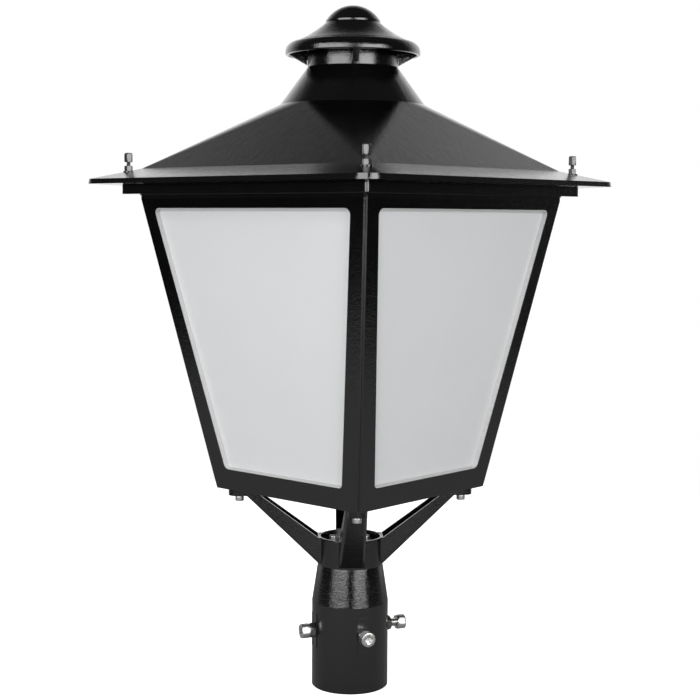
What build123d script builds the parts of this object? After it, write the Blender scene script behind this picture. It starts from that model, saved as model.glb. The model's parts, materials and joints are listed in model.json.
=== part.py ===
"""Post top lantern: a flared square lamp body with opal panels on a four armed yoke and a pole socket.

Millimetres, +Z up. The origin is the centre of the pole socket's mouth. The faces of the lamp body look
along -Y (front), +X (right), +Y (back) and -X (left), so its corners lie on the diagonals.
Each function makes one sub-part where it sits in the finished lantern.
"""
from build123d import *
from math import atan2, cos, hypot, radians, sin, sqrt
import os

# ---------------------------------------------------------------- driving dimensions
# pole socket
SOCKET_RADIUS = 38.0           # outside of the socket
SOCKET_STRAIGHT = 86.0         # height of its cylindrical part
SOCKET_TOP_RADIUS = 32.4       # outside at the top of the taper
SOCKET_HEIGHT = 123.0
POLE_RADIUS = 30.15            # 60.3 mm pole
POLE_CLEARANCE = 1.35          # radial room round the pole in the machined mouth
MOUTH_LENGTH = 42.0            # length of the machined mouth
CAST_BORE_RADIUS = 32.2        # as-cast bore above the mouth
POLE_DEPTH = 95.0              # how far the pole goes in before it meets the stop
WELL_RADIUS = 20.0             # cable well above the pole stop
SOCKET_WEB = 10.0              # thickness of the web that carries the yoke
CABLE_HOLE_RADIUS = 11.0
PAD_WIDTH = 13.0               # flat pad under each set screw
PAD_FACE = 38.2                # distance of the pad's face from the axis
PAD_BOTTOM = 41.0
PAD_TOP = 75.5
PAD_ROUND = 1.5
SOCKET_RIM_BREAK = 0.8

# set screws
SET_SCREW_HEIGHT = 58.0
SET_SCREW_AZIMUTH = -27.5      # first of four, from +X
SET_SCREW_LENGTH = 16.0
SET_SCREW_BACKED_OUT = (0.0, 6.6, 0.0, 0.0)
LOCK_NUT_FLATS = 13.0
LOCK_NUT_THICKNESS = 4.8

# yoke
HUB_RADIUS = 32.2
HUB_HEIGHT = 27.8
HUB_CUP_RADIUS = 29.4
HUB_CUP_DEPTH = 5.5
HUB_RIM_ROUND = 0.8
ARM_ROOT_WIDTH = 26.0
ARM_TIP_WIDTH = 20.5
ARM_ROOT_TOP = 0.4             # how far the arm's top edge starts above the hub's rim
ARM_ROOT_BOTTOM = 2.0          # how far its underside starts above the hub's foot
ARM_TOP_REACH = 98.4           # radius where the arm's top edge meets the lamp body
ARM_WALL = 2.5
ARM_FLOOR = 5.0
ARM_EDGE_ROUND = 3.0
ARM_OVERLAP = 6.0              # how far an arm runs on into the hub
LUG_THICKNESS = 7.5
LUG_WIDTH = 18.0
LUG_ROOT = 103.0               # radius where the arm's underside meets the lug
LUG_REACH = 121.0
LUG_NECK = 2.0                 # where the arm's taper ends, inside the lug's root

# lamp body
BODY_BOTTOM = 200.0            # height of the body's underside above the socket's mouth
BODY_HEIGHT = 286.9
BODY_BOTTOM_SIDE = 189.5
BODY_TOP_SIDE = 293.1
FRAME_THICKNESS = 8.0
LIP_DEPTH = 4.0                # from the frame's face back to the panel's gasket
CORNER_BEVEL = 3.6
MITRE_GAP = 0.15               # each side of the mitre plane
CORNICE_HEIGHT = 3.6
RAIL_BOTTOM = 21.0             # window margins along the slope
RAIL_TOP = 12.6
STILE_BOTTOM = 21.2            # window margins across
STILE_TOP = 17.2
WINDOW_CORNER = 5.5
REBATE = 5.0                   # how far the panel reaches behind the window's edge
REBATE_GAP = 0.5
PANEL_THICKNESS = 3.0
LINING_START = 0.6             # from the frame's face back to the lining of the window
LINING_THICKNESS = 1.0
POST_WIDTH = 15.0
POST_GAP = 1.25                # between a post and the backs of the frames
PLATE_THICKNESS = 5.0
TAB_LENGTH = 60.0              # upstand of the base plate behind each lower rail
TAB_HEIGHT = 13.0
TAB_THICKNESS = 3.0
TAB_START = 2.0                # lower end of the upstand, up the face
TAB_SCREW_OFFSET = 20.0
TAB_SCREW_HEIGHT = 7.5
CLIP_WIDTH = 14.0
CLIP_THICKNESS = 1.5
CLIP_GRIP = 3.0                # how far a clip reaches over the panel's visible edge
CLIP_TAIL = 3.2                # from a clip's screw to its outer end
CLIP_SCREW_DROP = 4.3          # from the frame's top down to an upper clip's screw
CLIP_OFFSET_BOTTOM = 52.0
CLIP_OFFSET_TOP = 85.0

# top ring
SEAL_THICKNESS = 1.0
RING_SIDE = 316.8
RING_OPENING = 236.0
RING_HEIGHT = 8.0
RING_CORNER = 3.0
GROOVE_SIDE = 284.0            # outside of the roof gasket's groove
GROOVE_WIDTH = 4.0
GROOVE_DEPTH = 2.0

# roof
BRIM_SIDE = 370.6
BRIM_CORNER = 16.0             # plan radius of the brim's corners
BRIM_UNDERCUT = 1.6            # rise of the brim's underside, from the ring out to the fascia
BRIM_EDGE = 4.8                # height of the brim's fascia
BRIM_EDGE_LEAN = 0.6
BRIM_RISE = 10.4
ROOF_SIDE = 287.6              # square base of the roof
ROOF_CORNER = 0.3
ROOF_RISE = 61.9
NECK_BASE_RADIUS = 70.4
NECK_RISE = 36.1
COLLAR_RADIUS = 44.0
COLLAR_HEIGHT = 19.3           # upright part of the neck's collar
ROOF_WALL = 3.5
ROOF_LEDGE = 10.0              # inner ledge of the casting at the roof's base
SPOT_FACE_RADIUS = 5.6
STUD_BOSS_RADIUS = 5.2
ROOF_LIFT = 100.0

# corner studs
STUD_PLACE = 153.2             # distance of each stud from the two centre planes
STUD_FLATS = 7.0
STUD_TIP = 8.9
STUD_WAIST = 3.5
STUD_NUT_HEIGHT = 5.0
STUD_TRAVEL = 10.0

# vent hood and finial
LIP_RADIUS = 65.4
LIP_DROP = 7.8                 # the lip's lower edge below the collar's top
LIP_EDGE = 3.8                 # height of the lip's outer edge
LIP_CROWN = 6.4                # height that the lip's arch passes above its edge
LIP_CROWN_OUT = 7.7            # how far outside the ledge it does so
LEDGE_RADIUS = 54.5
LEDGE_RISE = 9.0               # from the lip's edge up to the ledge
LEDGE_WIDTH = 0.6
LEDGE_STEP = 0.9
HOOD_TOP_RADIUS = 27.6
HOOD_RISE = 18.7               # from the ledge up to the hood's top
HOOD_TOP_BREAK = 1.2
HOOD_CONE_DIP = 1.3            # how far the cone's side sinks below straight
HOOD_WALL = 3.2
LIP_ROUND = 1.4
RIB_THICKNESS = 6.0
RIB_BEARING = 8.0              # how far a rib reaches in over the collar's top
RIB_DROP = 17.4                # from the collar's top down to the foot of a rib
FINIAL_RADIUS = 26.4
FINIAL_BAND = 1.6
FINIAL_HEIGHT = 16.5
BRIDGE_WIDTH = 16.0
BRIDGE_THICKNESS = 5.0
BRIDGE_DROP = 9.7              # from the collar's foot down to the bridge
ROD_BITE = 10.0                # how far the rod screws into the finial
ROD_NUT_HEIGHT = 6.5
ROD_END = 2.5                  # rod standing out below its nut

# light engine and gear, hung in the roof
TRAY_SIDE = 224.0
TRAY_THICKNESS = 2.0
TRAY_DROP = 6.6                # tray top above the ring's top
TRAY_LIP = 6.0
TRAY_CORNER = 6.0
BOSS_PLACE = 98.0
BOSS_RADIUS = 6.5
SINK_RADIUS = 70.0
SINK_BASE = 5.0
SINK_FIN_HEIGHT = 13.5
SINK_FIN_THICKNESS = 2.0
SINK_FIN_PITCH = 8.0
SINK_BOSS_RADIUS = 5.0
SINK_BOSS_X = 56.0
SINK_BOSS_Y = 12.0
BOARD_RADIUS = 56.0
BOARD_THICKNESS = 1.6
CHIP_SIDE = 3.5
CHIP_HEIGHT = 0.8
CHIP_PITCH = 13.0
CHIP_ROWS = 6
LENS_RADIUS = 68.0
LENS_WALL = 2.0
LENS_DROP = 10.0
LENS_RIM = 8.0
LENS_CORNER = 6.0              # slanted lower corner of the cover
DRIVER_LENGTH = 150.0
DRIVER_WIDTH = 64.0
DRIVER_HEIGHT = 33.0
DRIVER_OFFSET = 50.0           # from the centre towards the front
DRIVER_FOOT = 11.0
DRIVER_CORNER = 4.0
DRIVER_EDGE = 1.2
FOOT_THICKNESS = 2.0           # feet of the driver and the terminal block
TERMINAL_LENGTH = 52.0
TERMINAL_WIDTH = 24.0
TERMINAL_HEIGHT = 19.0
TERMINAL_FOOT = 8.0
TERMINAL_POLES = 5
TERMINAL_SLOT = 6.2
TERMINAL_SLOT_DEPTH = 7.0
TERMINAL_OFFSET = 50.0         # from the centre towards the back
LEAD_HOLE_PLACE = 85.0

# cable gland
GLAND_FLATS = 24.0
GLAND_FLANGE = 9.0
GLAND_DOME = 9.0
GLAND_THREAD_RADIUS = 10.0
GLAND_THREAD_LENGTH = 13.0
GLAND_NUT_THICKNESS = 5.0
GLAND_SLEEVE_RADIUS = 7.0
LEAD_RADIUS = 4.5

# screws: shank radius, head radius, head height, key width across flats
SET_SCREW = (4.0, 7.25, 9.2, 6.0)
M5_CAP = (2.5, 4.25, 5.0, 4.0)
M5_PAN = (2.5, 4.75, 3.2, 0.0)
M5_FLAT = (2.5, 5.0, 2.5, 3.0)
M4_PAN = (2.0, 4.0, 2.6, 0.0)
YOKE_SCREW = M4_PAN
M4_STUD = 2.0
M3_PAN = (1.5, 2.8, 2.0, 0.0)
M8_ROD = 4.0
THREAD_GAP = 0.05              # radial room between a screw and its hole
CLEARANCE = 0.3                # between curved faces that must not touch
WASHER_THICKNESS = 1.0
WASHER_RADIUS = 5.0
YOKE_SCREW_CIRCLE = 23.5       # radius of the circle of the yoke's screws
YOKE_SCREW_LENGTH = 28.0
FOOT_BOLT_LENGTH = 25.0
RING_SCREW_LENGTH = 22.0
SINK_SCREW_BITE = 9.0
TRAY_SCREW_BITE = 10.0
LENS_SCREW_BITE = 4.0
BLIND_MARGIN = 0.5             # extra depth of a blind hole past its screw

# ---------------------------------------------------------------- places that follow from them
MOUTH_RADIUS = POLE_RADIUS + POLE_CLEARANCE
HUB_BOTTOM = SOCKET_HEIGHT
HUB_TOP = HUB_BOTTOM + HUB_HEIGHT
ARM_FOOT = HUB_BOTTOM + ARM_ROOT_BOTTOM
CUP_FLOOR = HUB_TOP - HUB_CUP_DEPTH
BODY_TOP = BODY_BOTTOM + BODY_HEIGHT
BODY_SLOPE = (BODY_TOP_SIDE - BODY_BOTTOM_SIDE) / 2 / BODY_HEIGHT
SLANT = sqrt(1 + BODY_SLOPE ** 2)             # length along the face for each mm of height
FACE_LENGTH = BODY_HEIGHT * SLANT
FRAME_INSET = FRAME_THICKNESS * SLANT         # frame thickness measured level
POST_INSET = FRAME_INSET + POST_GAP + POST_WIDTH / 2
FOOT_BOLT_PLACE = BODY_BOTTOM_SIDE / 2 - POST_INSET
RING_SCREW_PLACE = BODY_TOP_SIDE / 2 - POST_INSET
RING_BOTTOM = BODY_TOP + SEAL_THICKNESS
RING_TOP = RING_BOTTOM + RING_HEIGHT
BRIM_LOW = RING_TOP + BRIM_UNDERCUT
BRIM_TOP = BRIM_LOW + BRIM_EDGE
ROOF_BASE = BRIM_TOP + BRIM_RISE
NECK_BASE = ROOF_BASE + ROOF_RISE
COLLAR_BASE = NECK_BASE + NECK_RISE
COLLAR_TOP = COLLAR_BASE + COLLAR_HEIGHT
LIP_BOTTOM = COLLAR_TOP - LIP_DROP
LIP_WIDEST = LIP_BOTTOM + LIP_EDGE
LEDGE_HEIGHT = LIP_WIDEST + LEDGE_RISE
HOOD_TOP = LEDGE_HEIGHT + HOOD_RISE
RIB_FOOT = COLLAR_TOP - RIB_DROP
BRIM_TOP_SIDE = BRIM_SIDE - 2 * BRIM_EDGE_LEAN
BRIM_TIP = BRIM_TOP_SIDE / 2 - BRIM_CORNER * (1 - sqrt(0.5))
NECK_SLOPE = (NECK_BASE_RADIUS - COLLAR_RADIUS) / NECK_RISE
NECK_INSET = ROOF_WALL * sqrt(1 + NECK_SLOPE ** 2)
STUD_SEAT = BRIM_TOP + BRIM_RISE * (BRIM_TIP - STUD_PLACE) / (BRIM_TIP - ROOF_SIDE / 2)
TRAY_TOP = RING_TOP + TRAY_DROP
TRAY_BOTTOM = TRAY_TOP - TRAY_THICKNESS
SINK_BOTTOM = TRAY_BOTTOM - SINK_FIN_HEIGHT - SINK_BASE
BRIDGE_TOP = COLLAR_BASE - BRIDGE_DROP
BRIDGE_BOTTOM = BRIDGE_TOP - BRIDGE_THICKNESS
ROD_TOP = HOOD_TOP + ROD_BITE
NECK_INNER_SLOPE = (NECK_BASE_RADIUS - NECK_INSET - COLLAR_RADIUS + ROOF_WALL) / NECK_RISE


def half_side(z):
    """Half the lamp body's outer width at height z."""
    return BODY_BOTTOM_SIDE / 2 + BODY_SLOPE * (z - BODY_BOTTOM)


# ---------------------------------------------------------------- helpers
def frustum(half_low, half_high, z_low, z_high):
    """Square frustum on the Z axis."""
    low = Plane.XY.offset(z_low) * Rectangle(2 * half_low, 2 * half_low)
    high = Plane.XY.offset(z_high) * Rectangle(2 * half_high, 2 * half_high)
    return loft([low, high], ruled=True)


def disc(radius, z_low, z_high, x=0.0, y=0.0):
    """Upright cylinder from z_low to z_high."""
    return Pos(x, y, (z_low + z_high) / 2) * Cylinder(radius, z_high - z_low)


def block(size_x, size_y, z_low, z_high, x=0.0, y=0.0):
    """Upright block centred on x, y."""
    return Pos(x, y, (z_low + z_high) / 2) * Box(size_x, size_y, z_high - z_low)


def hexagon(flats, z_low, z_high):
    """Hexagonal bar on the Z axis."""
    outline = RegularPolygon(flats / 2, 6, major_radius=False)
    return Plane.XY.offset(z_low) * extrude(outline, z_high - z_low)


def turned(*points):
    """Solid turned about the Z axis from (radius, height) points."""
    return revolve(Plane.XZ * make_face(Polyline(*points, close=True)), Axis.Z)


def four(shape):
    """The shape and its three copies at quarter turns about the Z axis."""
    return [Rot(0, 0, 90 * turn) * shape for turn in range(4)]


def group(shapes):
    """Separate solids kept together as one sub-part."""
    return Compound([solid for shape in shapes for solid in shape.solids()])


def cap_screw(size, length):
    """Socket head cap screw pointing down, head seat at z = 0."""
    shank, head, height, key = size
    body = disc(head, 0, height)
    body = chamfer(body.edges().group_by(Axis.Z)[-1], head * 0.08)
    body -= hexagon(key, height * 0.45, height + 1)
    return body + disc(shank, -length, 0)


def pan_screw(size, length):
    """Cross recessed pan head screw pointing down, head seat at z = 0."""
    shank, head, height, _ = size
    body = disc(head, 0, height)
    body = fillet(body.edges().group_by(Axis.Z)[-1], height * 0.6)
    for turn in (0, 90):
        body -= Rot(0, 0, turn) * block(head * 1.1, head * 0.28, height * 0.4, height + 1)
    return body + disc(shank, -length, 0)


def flat_screw(size, length):
    """Countersunk socket screw pointing down, head top at z = 0."""
    shank, head, height, key = size
    body = turned((0, -height), (shank, -height), (head, 0), (0, 0))
    body -= hexagon(key, -height * 0.7, 1)
    return body + disc(shank, -length, -height)


def hex_nut(flats, thickness, bore):
    """Hexagon nut with chamfered corners, standing on z = 0."""
    corner = flats / 2 / cos(radians(30))
    edge = corner - flats / 2
    form = turned((bore, 0), (flats / 2, 0), (corner, edge), (corner, thickness - edge),
                  (flats / 2, thickness), (bore, thickness))
    return form & hexagon(flats, 0, thickness)


def rounded_plate(side, corner, z_low, z_high):
    """Square plate with rounded corners."""
    return Plane.XY.offset(z_low) * extrude(RectangleRounded(side, side, corner), z_high - z_low)


def square_to_round(half_low, radius, z_low, z_high):
    """Roof form from a square up to a circle: four flat triangles and four oblique cone quarters."""
    apex = Vector(0, 0, z_high)
    corners = [Vector(half_low * a, half_low * b, z_low) for a, b in ((1, -1), (1, 1), (-1, 1), (-1, -1))]
    tops = [Vector(radius * a, radius * b, z_high) for a, b in ((1, 0), (0, 1), (-1, 0), (0, -1))]
    base = make_face(Polyline(*corners, close=True))
    form = loft([base, Vertex(*apex)], ruled=True)
    for side in range(4):
        near, far, top, before = corners[side], corners[(side + 1) % 4], tops[side], tops[side - 1]
        wedge = make_face(Polyline(near, far, apex, close=True))
        form += loft([wedge, Vertex(*top)], ruled=True)
        middle = Vector((before.X + top.X) / sqrt(2), (before.Y + top.Y) / sqrt(2), z_high)
        quarter = make_face([Line(apex, before), ThreePointArc(before, middle, top), Line(top, apex)])
        form += loft([quarter, Vertex(*near)], ruled=True)
    return form


# the plane of the front face: x across, y up the slope, z outwards
FRONT = Plane(origin=(0, -BODY_BOTTOM_SIDE / 2, BODY_BOTTOM), x_dir=(1, 0, 0), z_dir=(0, -1, -BODY_SLOPE))


def behind_front(across, up, depth):
    """Place behind the front face, with z pointing into the lamp body."""
    return FRONT.location * Pos(across, up, -depth) * Rot(0, 180, 0)


def window(margin, depth_near, depth_far):
    """The window's prism, grown by margin, between two depths behind the front face."""
    low, high = RAIL_BOTTOM - margin, FACE_LENGTH - RAIL_TOP + margin
    narrow = half_side(BODY_BOTTOM + RAIL_BOTTOM / SLANT) - STILE_BOTTOM + margin
    wide = half_side(BODY_TOP - RAIL_TOP / SLANT) - STILE_TOP + margin
    outline = make_face(Polyline((-narrow, low), (narrow, low), (wide, high), (-wide, high), close=True))
    outline = fillet(outline.vertices(), WINDOW_CORNER + margin)
    return FRONT.location * Pos(0, 0, -depth_far) * extrude(outline, depth_far - depth_near)


# ---------------------------------------------------------------- pole socket and set screws
def set_screw_place(number, distance):
    """Place on set screw number's axis at this distance from the pole's axis, z pointing outwards."""
    azimuth = SET_SCREW_AZIMUTH + 90 * number
    return Rot(0, 0, azimuth) * Pos(distance, 0, SET_SCREW_HEIGHT) * Rot(0, 90, 0)


def make_post_socket():
    """Cast socket with a machined mouth, a pole stop and a web for the yoke's screws."""
    web_bottom = SOCKET_HEIGHT - SOCKET_WEB
    body = turned((0, 0), (SOCKET_RADIUS, 0), (SOCKET_RADIUS, SOCKET_STRAIGHT),
                  (SOCKET_TOP_RADIUS, SOCKET_HEIGHT), (0, SOCKET_HEIGHT))
    body = chamfer(body.edges().group_by(Axis.Z)[0], SOCKET_RIM_BREAK)
    for number in range(4):
        pad = block(PAD_FACE, PAD_WIDTH, PAD_BOTTOM, PAD_TOP, PAD_FACE / 2)
        pad = fillet(pad.edges().filter_by(Axis.X), PAD_ROUND)
        body += Rot(0, 0, SET_SCREW_AZIMUTH + 90 * number) * pad
    body -= disc(MOUTH_RADIUS, -1, MOUTH_LENGTH)
    body -= disc(CAST_BORE_RADIUS, MOUTH_LENGTH, POLE_DEPTH)
    body -= disc(WELL_RADIUS, POLE_DEPTH, web_bottom)
    body -= disc(CABLE_HOLE_RADIUS, web_bottom, SOCKET_HEIGHT + 1)
    hole = disc(SET_SCREW[0] + THREAD_GAP, -(PAD_FACE - WELL_RADIUS), 1)
    for number in range(4):
        body -= set_screw_place(number, PAD_FACE) * hole
    for hole in four(disc(YOKE_SCREW[0] + THREAD_GAP, web_bottom, SOCKET_HEIGHT + 1, YOKE_SCREW_CIRCLE)):
        body -= hole
    return body


def make_lock_nuts():
    """Four thin nuts that lock the set screws against the socket's pads."""
    nut = hex_nut(LOCK_NUT_FLATS, LOCK_NUT_THICKNESS, SET_SCREW[0] + THREAD_GAP)
    return group([set_screw_place(number, PAD_FACE) * nut for number in range(4)])


def make_set_screw(number):
    """One radial set screw, backed out as far as it stands at rest."""
    seat = PAD_FACE + LOCK_NUT_THICKNESS + SET_SCREW_BACKED_OUT[number]
    return set_screw_place(number, seat) * cap_screw(SET_SCREW, SET_SCREW_LENGTH)


# ---------------------------------------------------------------- yoke
def arm_outline():
    """Side view of one arm in radius and height, from inside the hub to the lug's end."""
    lug_bottom = BODY_BOTTOM - LUG_THICKNESS
    root = HUB_RADIUS - ARM_OVERLAP
    root_top = HUB_TOP + ARM_ROOT_TOP
    slope = (lug_bottom - ARM_FOOT) / (LUG_ROOT - HUB_RADIUS)
    return [(root, ARM_FOOT), (HUB_RADIUS, ARM_FOOT), (LUG_ROOT, lug_bottom), (LUG_REACH, lug_bottom),
            (LUG_REACH, BODY_BOTTOM), (ARM_TOP_REACH, BODY_BOTTOM), (HUB_RADIUS, root_top),
            (root, root_top)], slope


def make_arm():
    """One channel arm of the yoke, along +X, with its lug."""
    points, slope = arm_outline()
    side = extrude(Plane.XZ * make_face(Polyline(*points, close=True)), ARM_ROOT_WIDTH / 2, both=True)
    root, tip = ARM_ROOT_WIDTH / 2, ARM_TIP_WIDTH / 2
    end = LUG_REACH - LUG_WIDTH / 2
    shoulder = LUG_ROOT - LUG_NECK
    plan = make_face(Polyline((0, -root), (HUB_RADIUS, -root), (shoulder, -tip), (shoulder, tip),
                              (HUB_RADIUS, root), (0, root), close=True))
    lug = Rectangle(end, LUG_WIDTH, align=(Align.MIN, Align.CENTER)) + Pos(end, 0) * Circle(LUG_WIDTH / 2)
    arm = side & extrude(Plane.XY.offset(HUB_BOTTOM) * (plan + lug), BODY_BOTTOM)
    low_edges = [edge for edge in arm.edges() if HUB_RADIUS + 1 < edge.center().X < shoulder and
                 abs(edge.center().Z - ARM_FOOT - slope * (edge.center().X - HUB_RADIUS)) < 1 and
                 abs(edge.center().Y) > tip - 1]
    arm = fillet(low_edges, ARM_EDGE_ROUND)
    floor_start = ARM_FOOT + ARM_FLOOR * sqrt(1 + slope ** 2)
    channel_end = ARM_TOP_REACH
    channel = make_face(Polyline((HUB_RADIUS, floor_start), (channel_end, floor_start + slope *
                                 (channel_end - HUB_RADIUS)), (channel_end, BODY_BOTTOM + 1),
                                 (HUB_RADIUS, BODY_BOTTOM + 1), close=True))
    hollow = extrude(Plane.XZ * channel, ARM_ROOT_WIDTH, both=True)
    root, tip = root - ARM_WALL, tip - ARM_WALL
    inner = make_face(Polyline((0, -root), (HUB_RADIUS, -root), (shoulder, -tip), (shoulder, tip),
                               (HUB_RADIUS, root), (0, root), close=True))
    hollow &= extrude(Plane.XY.offset(HUB_BOTTOM) * inner, BODY_BOTTOM)
    return arm - hollow - disc(HUB_RADIUS - HUB_RIM_ROUND, CUP_FLOOR, BODY_BOTTOM)


def make_yoke():
    """Cast yoke: a cupped hub and four channel arms out to the lamp body's corners."""
    yoke = disc(HUB_RADIUS, HUB_BOTTOM, HUB_TOP) - disc(HUB_CUP_RADIUS, CUP_FLOOR, HUB_TOP + 1)
    yoke = fillet(yoke.edges().group_by(Axis.Z)[-1], HUB_RIM_ROUND)
    for turn in range(4):
        yoke += Rot(0, 0, 45 + 90 * turn) * make_arm()
    yoke -= disc(CABLE_HOLE_RADIUS, HUB_BOTTOM - 1, HUB_TOP)
    for hole in four(disc(YOKE_SCREW[0] + THREAD_GAP, HUB_BOTTOM - 1, HUB_TOP, YOKE_SCREW_CIRCLE)):
        yoke -= hole
    bolt_hole = disc(M5_CAP[0] + THREAD_GAP, BODY_BOTTOM - LUG_THICKNESS - 1, BODY_BOTTOM + 1,
                     FOOT_BOLT_PLACE, FOOT_BOLT_PLACE)
    for hole in four(bolt_hole):
        yoke -= hole
    return yoke


def make_yoke_screws():
    """Four pan head screws that hold the yoke down on the socket."""
    screw = Pos(YOKE_SCREW_CIRCLE, 0, CUP_FLOOR) * pan_screw(YOKE_SCREW, YOKE_SCREW_LENGTH)
    return group(four(screw))


def make_foot_washers():
    """Plain washers under the foot bolts' heads."""
    low = BODY_BOTTOM - LUG_THICKNESS - WASHER_THICKNESS
    ring = disc(WASHER_RADIUS, low, low + WASHER_THICKNESS) - disc(M5_CAP[0] + THREAD_GAP, low - 1, low + 2)
    return group(four(Pos(FOOT_BOLT_PLACE, FOOT_BOLT_PLACE, 0) * ring))


def make_foot_bolts():
    """Four cap screws, from below, through lug and base plate into the corner posts."""
    seat = BODY_BOTTOM - LUG_THICKNESS - WASHER_THICKNESS
    screw = Pos(FOOT_BOLT_PLACE, FOOT_BOLT_PLACE, seat) * Rot(180, 0, 0) * cap_screw(M5_CAP, FOOT_BOLT_LENGTH)
    return group(four(screw))


# ---------------------------------------------------------------- lamp body
def make_side_frame():
    """Front side frame: four rails in one casting, mitred at the corners."""
    cornice = BODY_TOP - CORNICE_HEIGHT
    outer = frustum(half_side(BODY_BOTTOM), half_side(cornice), BODY_BOTTOM, cornice)
    outer += frustum(half_side(cornice), half_side(cornice), cornice, BODY_TOP)
    cut = CORNER_BEVEL / 2
    low, high = half_side(BODY_BOTTOM) * sqrt(2) - cut, half_side(cornice) * sqrt(2) - cut
    bevel = frustum(low, high, BODY_BOTTOM, cornice)
    bevel += frustum(high, high, cornice, BODY_TOP)
    outer &= Rot(0, 0, 45) * bevel
    inner_low = half_side(BODY_BOTTOM - 1) - FRAME_INSET
    inner_high = half_side(BODY_TOP + 1) - FRAME_INSET
    shell = outer - frustum(inner_low, inner_high, BODY_BOTTOM - 1, BODY_TOP + 1)
    reach = BODY_TOP_SIDE
    inset = MITRE_GAP * sqrt(2)
    wedge = make_face(Polyline((0, -inset), (reach, -reach - inset), (-reach, -reach - inset), close=True))
    frame = shell & extrude(wedge, BODY_TOP + 1)
    frame -= window(0, -5, FRAME_THICKNESS + 1)
    frame -= window(REBATE, LIP_DEPTH, FRAME_THICKNESS + 1)
    hole_depth = FRAME_THICKNESS - LIP_DEPTH + BLIND_MARGIN
    for place, size in frame_hole_places():
        frame -= place * Pos(0, 0, -hole_depth / 2) * Cylinder(size[0] + THREAD_GAP, hole_depth)
    return frame


def frame_hole_places():
    """Places of the blind screw holes in the back of the front frame, with their screw sizes."""
    tabs = [(behind_front(side * TAB_SCREW_OFFSET, TAB_SCREW_HEIGHT, FRAME_THICKNESS), M4_PAN)
            for side in (-1, 1)]
    clips = [(behind_front(across, up, FRAME_THICKNESS), M3_PAN) for across, up in clip_screw_points()]
    return tabs + clips


def clip_screw_points():
    """Where the clips' screws go on the front face: across and up the slope."""
    low = (RAIL_BOTTOM - REBATE) / 2
    high = FACE_LENGTH - CLIP_SCREW_DROP
    return [(side * offset, up) for offset, up in ((CLIP_OFFSET_BOTTOM, low), (CLIP_OFFSET_TOP, high))
            for side in (-1, 1)]


def make_diffuser():
    """Front opal panel, in the frame's rebate."""
    return window(REBATE - REBATE_GAP, FRAME_THICKNESS - PANEL_THICKNESS, FRAME_THICKNESS)


def make_diffuser_gasket():
    """Silicone frame between the front panel and the frame's lip, turned out to line the window."""
    far = FRAME_THICKNESS - PANEL_THICKNESS
    gasket = window(REBATE - REBATE_GAP, LIP_DEPTH, far) + window(-THREAD_GAP, LINING_START, LIP_DEPTH)
    return gasket - window(-THREAD_GAP - LINING_THICKNESS, 0, far + 1)


def make_clips():
    """Sheet clips that hold each panel in its rebate, above and below."""
    clips = []
    for across, up in clip_screw_points():
        sign = 1 if up < FACE_LENGTH / 2 else -1
        window_edge = RAIL_BOTTOM if sign > 0 else FACE_LENGTH - RAIL_TOP
        inner = window_edge + sign * CLIP_GRIP
        outer = up - sign * CLIP_TAIL
        plate = block(CLIP_WIDTH, abs(inner - outer), 0, CLIP_THICKNESS)
        hole = Cylinder(M3_PAN[0] + THREAD_GAP, 4 * CLIP_THICKNESS)
        clips.append(behind_front(across, (inner + outer) / 2, FRAME_THICKNESS) * plate
                     - behind_front(across, up, FRAME_THICKNESS) * hole)
    return group([copy for clip in clips for copy in four(clip)])


def make_clip_screws():
    """Small pan head screws of the panel clips."""
    length = FRAME_THICKNESS - LIP_DEPTH + CLIP_THICKNESS
    screws = [behind_front(across, up, FRAME_THICKNESS + CLIP_THICKNESS) * pan_screw(M3_PAN, length)
              for across, up in clip_screw_points()]
    return group([copy for screw in screws for copy in four(screw)])


def make_corner_post():
    """Leaning square post inside the front right corner, tapped at both ends."""
    low, high = BODY_BOTTOM + PLATE_THICKNESS, RING_BOTTOM
    place_low, place_high = half_side(low) - POST_INSET, half_side(high) - POST_INSET
    foot = Plane.XY.offset(low) * Pos(place_low, -place_low) * Rectangle(POST_WIDTH, POST_WIDTH)
    head = Plane.XY.offset(high) * Pos(place_high, -place_high) * Rectangle(POST_WIDTH, POST_WIDTH)
    post = loft([foot, head], ruled=True)
    bolt_end = BODY_BOTTOM - LUG_THICKNESS - WASHER_THICKNESS + FOOT_BOLT_LENGTH + BLIND_MARGIN
    post -= disc(M5_CAP[0] + THREAD_GAP, low - 1, bolt_end, FOOT_BOLT_PLACE, -FOOT_BOLT_PLACE)
    screw_end = RING_TOP - RING_SCREW_LENGTH - BLIND_MARGIN
    post -= disc(M5_FLAT[0] + THREAD_GAP, screw_end, high + 1, RING_SCREW_PLACE, -RING_SCREW_PLACE)
    return post


def make_base_plate():
    """Base plate between the lower rails, with an upstand behind each and a hole for the gland."""
    top = BODY_BOTTOM + PLATE_THICKNESS
    plate = frustum(half_side(BODY_BOTTOM) - FRAME_INSET, half_side(top) - FRAME_INSET, BODY_BOTTOM, top)
    tab = Box(TAB_LENGTH, TAB_HEIGHT, TAB_THICKNESS)
    tab = behind_front(0, TAB_HEIGHT / 2 + TAB_START, FRAME_THICKNESS) * Pos(0, 0, TAB_THICKNESS / 2) * tab
    for place, size in frame_hole_places()[:2]:
        tab -= place * Cylinder(size[0] + THREAD_GAP, 4 * TAB_THICKNESS)
    for copy in four(tab):
        plate += copy
    plate -= disc(GLAND_THREAD_RADIUS + THREAD_GAP, BODY_BOTTOM - 1, top + 1)
    bolt_hole = disc(M5_CAP[0] + THREAD_GAP, BODY_BOTTOM - 1, top + 1, FOOT_BOLT_PLACE, FOOT_BOLT_PLACE)
    for hole in four(bolt_hole):
        plate -= hole
    return plate


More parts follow.
